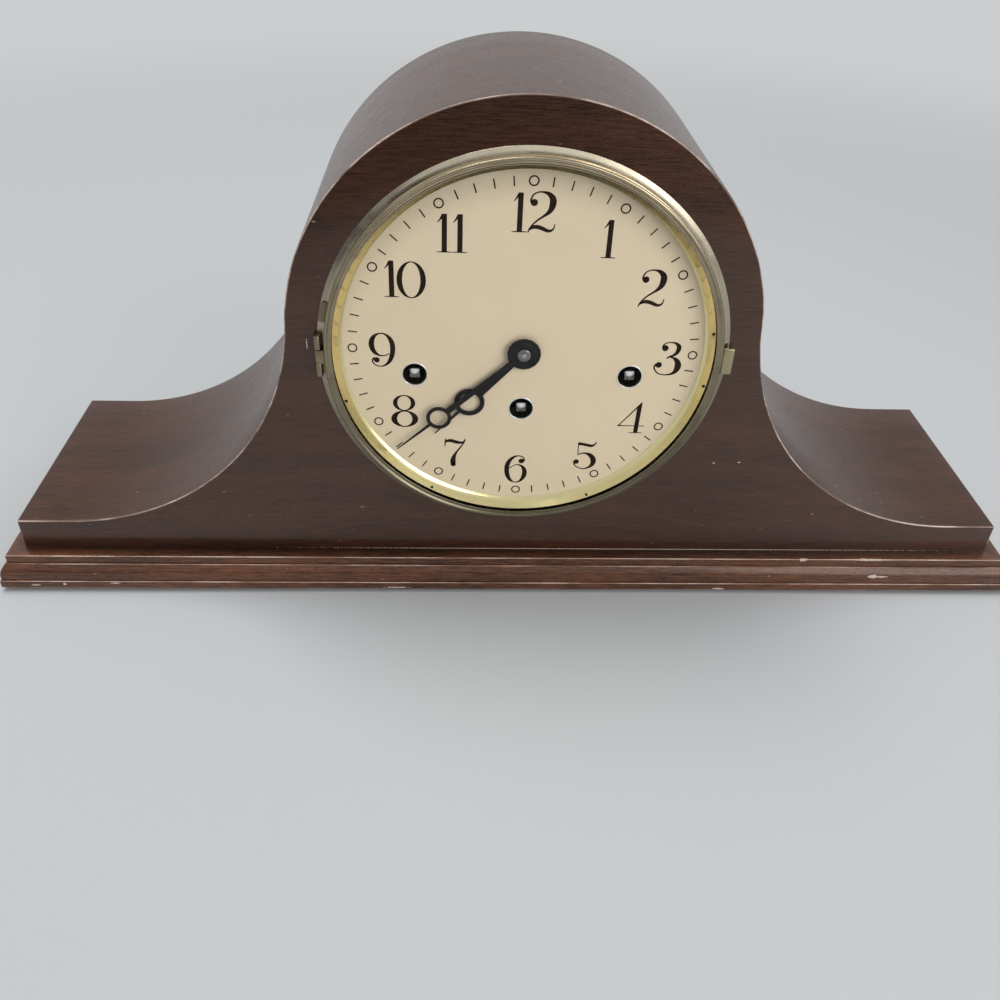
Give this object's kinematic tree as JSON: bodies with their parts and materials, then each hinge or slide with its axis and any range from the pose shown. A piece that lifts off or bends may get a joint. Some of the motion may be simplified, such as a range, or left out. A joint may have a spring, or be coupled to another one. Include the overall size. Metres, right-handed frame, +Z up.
{
  "type": "mantel clock",
  "caption": "Hump-backed wooden mantel clock with round glazed dial, opening bezel, spring movement with hour strike and rod chime, hinged back door and moulded base.",
  "frame": {"origin": "middle of the footprint's bounding box, on the surface the felt pads stand on", "axes": "+X to the right along the clock's width as seen from the front, +Y from the dial back through the case, +Z up"},
  "size_m": [0.529, 0.141, 0.2459],
  "materials": {
    "mahogany_veneer": "dark red-brown mahogany veneer, satin lacquer, fine level grain",
    "mahogany_moulding": "solid mahogany moulding, satin lacquer, redder than the veneer",
    "carcass_wood": "plain stained softwood and ply, unpolished inside",
    "felt": "pressed green wool felt",
    "gilt_brass": "lacquered brass, polished and a little dulled",
    "grey_brass": "brushed grey-gold sheet",
    "cream_dial": "matte cream printed dial",
    "clear_glass": "clear flat glass",
    "black_hand": "black lacquered steel",
    "movement_brass": "brushed clock brass",
    "movement_steel": "bright and blued steel",
    "cast_block": "black painted casting"
  },
  "bodies": {
    "case": {"back_board": "carcass_wood", "back_plate": "movement_brass", "base_board": "carcass_wood", "base_front_moulding": "mahogany_moulding", "base_left_moulding": "mahogany_moulding", "base_right_moulding": "mahogany_moulding", "bezel_hinge_fixed": "gilt_brass", "chime_rods": "movement_steel", "dial_pan": "grey_brass", "dial_plate": "cream_dial", "door_hinge_fixed": "gilt_brass", "end_blocks": "carcass_wood", "face_veneer": "mahogany_veneer", "felt_pads": "felt", "front_board": "carcass_wood", "front_plate": "movement_brass", "glue_cleats": "carcass_wood", "hammer_frame": "movement_brass", "hood_skin": "mahogany_veneer", "movement_feet": "movement_brass", "pillar_nuts": "movement_steel", "plate_pillars": "movement_brass", "rod_block": "cast_block"},
    "bezel_door": {"bezel": "gilt_brass", "bezel_glass": "clear_glass", "bezel_hinge_moving": "gilt_brass", "bezel_tab": "gilt_brass"},
    "back_door": {"back_door": "carcass_wood", "door_knob": "gilt_brass", "door_hinge_moving": "gilt_brass"},
    "minute_arbor": {"centre_arbor": "movement_brass", "minute_hand": "black_hand", "hand_nut": "gilt_brass"},
    "hour_pipe": {"hour_wheel": "movement_brass", "hour_hand": "black_hand"},
    "minute_wheel": {"minute_wheel": "movement_brass"},
    "intermediate_wheel": {"intermediate_wheel": "movement_brass"},
    "time_barrel": {"time_barrel": "movement_brass"},
    "third_wheel": {"third_wheel": "movement_brass"},
    "escape_wheel": {"escape_wheel": "movement_brass"},
    "pallet_lever": {"pallet_lever": "movement_steel"},
    "balance_wheel": {"balance_wheel": "movement_brass"},
    "strike_barrel": {"strike_barrel": "movement_brass"},
    "strike_second_wheel": {"strike_second_wheel": "movement_brass"},
    "strike_fly": {"strike_fly": "movement_brass"},
    "chime_barrel": {"chime_barrel": "movement_brass"},
    "chime_second_wheel": {"chime_second_wheel": "movement_brass"},
    "chime_fly": {"chime_fly": "movement_brass"},
    "chime_drum": {"chime_drum": "movement_brass"},
    "time_winding_arbor": {"time_winding_arbor": "movement_steel"},
    "time_click": {"time_click": "movement_steel"},
    "strike_winding_arbor": {"strike_winding_arbor": "movement_steel"},
    "strike_click": {"strike_click": "movement_steel"},
    "chime_winding_arbor": {"chime_winding_arbor": "movement_steel"},
    "chime_click": {"chime_click": "movement_steel"},
    "chime_hammer_1": {"chime_hammer_1": "movement_steel"},
    "chime_hammer_2": {"chime_hammer_2": "movement_steel"},
    "chime_hammer_3": {"chime_hammer_3": "movement_steel"},
    "chime_hammer_4": {"chime_hammer_4": "movement_steel"},
    "chime_hammer_5": {"chime_hammer_5": "movement_steel"}
  },
  "joints": [
    {"name": "bezel_hinge", "type": "hinge", "parent": "case", "child": "bezel_door", "pos_m": [-0.0924, -0.0612, 0.1337], "axis": [0, 0, -1], "range_deg": [0, 110]},
    {"name": "back_door_hinge", "type": "hinge", "parent": "case", "child": "back_door", "pos_m": [0.0837, 0.0628, 0.0867], "axis": [0, 0, -1], "range_deg": [0, 115]},
    {"name": "minute_arbor_turn", "type": "hinge", "parent": "case", "child": "minute_arbor", "pos_m": [0, -0.0187, 0.1337], "axis": [0, 1, 0], "continuous": true},
    {"name": "hour_pipe_turn", "type": "hinge", "parent": "case", "child": "hour_pipe", "pos_m": [0, -0.0564, 0.1337], "axis": [0, 1, 0], "continuous": true},
    {"name": "minute_wheel_turn", "type": "hinge", "parent": "case", "child": "minute_wheel", "pos_m": [0, -0.0385, 0.1517], "axis": [0, 1, 0], "continuous": true},
    {"name": "intermediate_wheel_turn", "type": "hinge", "parent": "case", "child": "intermediate_wheel", "pos_m": [0.021, -0.0187, 0.12131], "axis": [0, 1, 0], "continuous": true},
    {"name": "time_barrel_turn", "type": "hinge", "parent": "case", "child": "time_barrel", "pos_m": [0, -0.0187, 0.1034], "axis": [0, 1, 0], "continuous": true},
    {"name": "third_wheel_turn", "type": "hinge", "parent": "case", "child": "third_wheel", "pos_m": [-0.01602, -0.0187, 0.14823], "axis": [0, 1, 0], "continuous": true},
    {"name": "escape_wheel_turn", "type": "hinge", "parent": "case", "child": "escape_wheel", "pos_m": [-0.01167, -0.0187, 0.16446], "axis": [0, 1, 0], "continuous": true},
    {"name": "pallet_lever_rock", "type": "hinge", "parent": "case", "child": "pallet_lever", "pos_m": [0.00072, -0.0187, 0.16446], "axis": [0, 1, 0], "range_deg": [-3, 3]},
    {"name": "balance_swing", "type": "hinge", "parent": "case", "child": "balance_wheel", "pos_m": [0.01372, -0.0187, 0.16446], "axis": [0, 1, 0], "range_deg": [-120, 120], "stiffness_Nm_per_rad": 0.00003},
    {"name": "strike_second_wheel_turn", "type": "hinge", "parent": "case", "child": "strike_second_wheel", "pos_m": [0.05, -0.0187, 0.1488], "axis": [0, 1, 0], "continuous": true},
    {"name": "strike_barrel_turn", "type": "hinge", "parent": "case", "child": "strike_barrel", "pos_m": [0.05, -0.0187, 0.1212], "axis": [0, 1, 0], "continuous": true},
    {"name": "strike_fly_turn", "type": "hinge", "parent": "case", "child": "strike_fly", "pos_m": [0.06645, -0.0187, 0.1583], "axis": [0, 1, 0], "continuous": true},
    {"name": "chime_second_wheel_turn", "type": "hinge", "parent": "case", "child": "chime_second_wheel", "pos_m": [-0.05, -0.0187, 0.1488], "axis": [0, 1, 0], "continuous": true},
    {"name": "chime_barrel_turn", "type": "hinge", "parent": "case", "child": "chime_barrel", "pos_m": [-0.05, -0.0187, 0.1212], "axis": [0, 1, 0], "continuous": true},
    {"name": "chime_fly_turn", "type": "hinge", "parent": "case", "child": "chime_fly", "pos_m": [-0.06645, -0.0187, 0.1583], "axis": [0, 1, 0], "continuous": true},
    {"name": "chime_drum_turn", "type": "hinge", "parent": "case", "child": "chime_drum", "pos_m": [-0.05, 0.0105, 0.12518], "axis": [0, 1, 0], "continuous": true},
    {"name": "time_winding_turn", "type": "hinge", "parent": "case", "child": "time_winding_arbor", "pos_m": [0, -0.0385, 0.1034], "axis": [0, 1, 0], "continuous": true},
    {"name": "time_click_lift", "type": "hinge", "parent": "case", "child": "time_click", "pos_m": [0.00955, -0.0392, 0.11295], "axis": [0, 1, 0], "range_deg": [0, 12], "stiffness_Nm_per_rad": 0.002},
    {"name": "strike_winding_turn", "type": "hinge", "parent": "case", "child": "strike_winding_arbor", "pos_m": [0.05, -0.0385, 0.1212], "axis": [0, 1, 0], "continuous": true},
    {"name": "strike_click_lift", "type": "hinge", "parent": "case", "child": "strike_click", "pos_m": [0.05955, -0.0392, 0.13075], "axis": [0, 1, 0], "range_deg": [0, 12], "stiffness_Nm_per_rad": 0.002},
    {"name": "chime_winding_turn", "type": "hinge", "parent": "case", "child": "chime_winding_arbor", "pos_m": [-0.05, -0.0385, 0.1212], "axis": [0, 1, 0], "continuous": true},
    {"name": "chime_click_lift", "type": "hinge", "parent": "case", "child": "chime_click", "pos_m": [-0.04045, -0.0392, 0.13075], "axis": [0, 1, 0], "range_deg": [0, 12], "stiffness_Nm_per_rad": 0.002},
    {"name": "chime_hammer_1_swing", "type": "hinge", "parent": "case", "child": "chime_hammer_1", "pos_m": [-0.036, 0.013, 0.0717], "axis": [0, 1, 0], "range_deg": [0, 12], "stiffness_Nm_per_rad": 0.02},
    {"name": "chime_hammer_2_swing", "type": "hinge", "parent": "case", "child": "chime_hammer_2", "pos_m": [-0.036, 0.02, 0.0717], "axis": [0, 1, 0], "range_deg": [0, 12], "stiffness_Nm_per_rad": 0.02},
    {"name": "chime_hammer_3_swing", "type": "hinge", "parent": "case", "child": "chime_hammer_3", "pos_m": [-0.036, 0.027, 0.0717], "axis": [0, 1, 0], "range_deg": [0, 12], "stiffness_Nm_per_rad": 0.02},
    {"name": "chime_hammer_4_swing", "type": "hinge", "parent": "case", "child": "chime_hammer_4", "pos_m": [-0.036, 0.034, 0.0717], "axis": [0, 1, 0], "range_deg": [0, 12], "stiffness_Nm_per_rad": 0.02},
    {"name": "chime_hammer_5_swing", "type": "hinge", "parent": "case", "child": "chime_hammer_5", "pos_m": [-0.036, 0.041, 0.0717], "axis": [0, 1, 0], "range_deg": [0, 12], "stiffness_Nm_per_rad": 0.02}
  ],
  "couplings": [
    {"joint": "hour_pipe_turn", "follows": "minute_arbor_turn", "ratio": 0.083333},
    {"joint": "minute_wheel_turn", "follows": "minute_arbor_turn", "ratio": -0.33333},
    {"joint": "intermediate_wheel_turn", "follows": "minute_arbor_turn", "ratio": -0.27778},
    {"joint": "time_barrel_turn", "follows": "minute_arbor_turn", "ratio": 0.041667},
    {"joint": "third_wheel_turn", "follows": "minute_arbor_turn", "ratio": -6},
    {"joint": "escape_wheel_turn", "follows": "minute_arbor_turn", "ratio": 36},
    {"joint": "strike_barrel_turn", "follows": "strike_second_wheel_turn", "ratio": -0.15},
    {"joint": "strike_fly_turn", "follows": "strike_second_wheel_turn", "ratio": -5.3333},
    {"joint": "chime_barrel_turn", "follows": "chime_second_wheel_turn", "ratio": -0.15},
    {"joint": "chime_fly_turn", "follows": "chime_second_wheel_turn", "ratio": -5.3333},
    {"joint": "chime_drum_turn", "follows": "chime_second_wheel_turn", "ratio": -0.5}
  ]
}
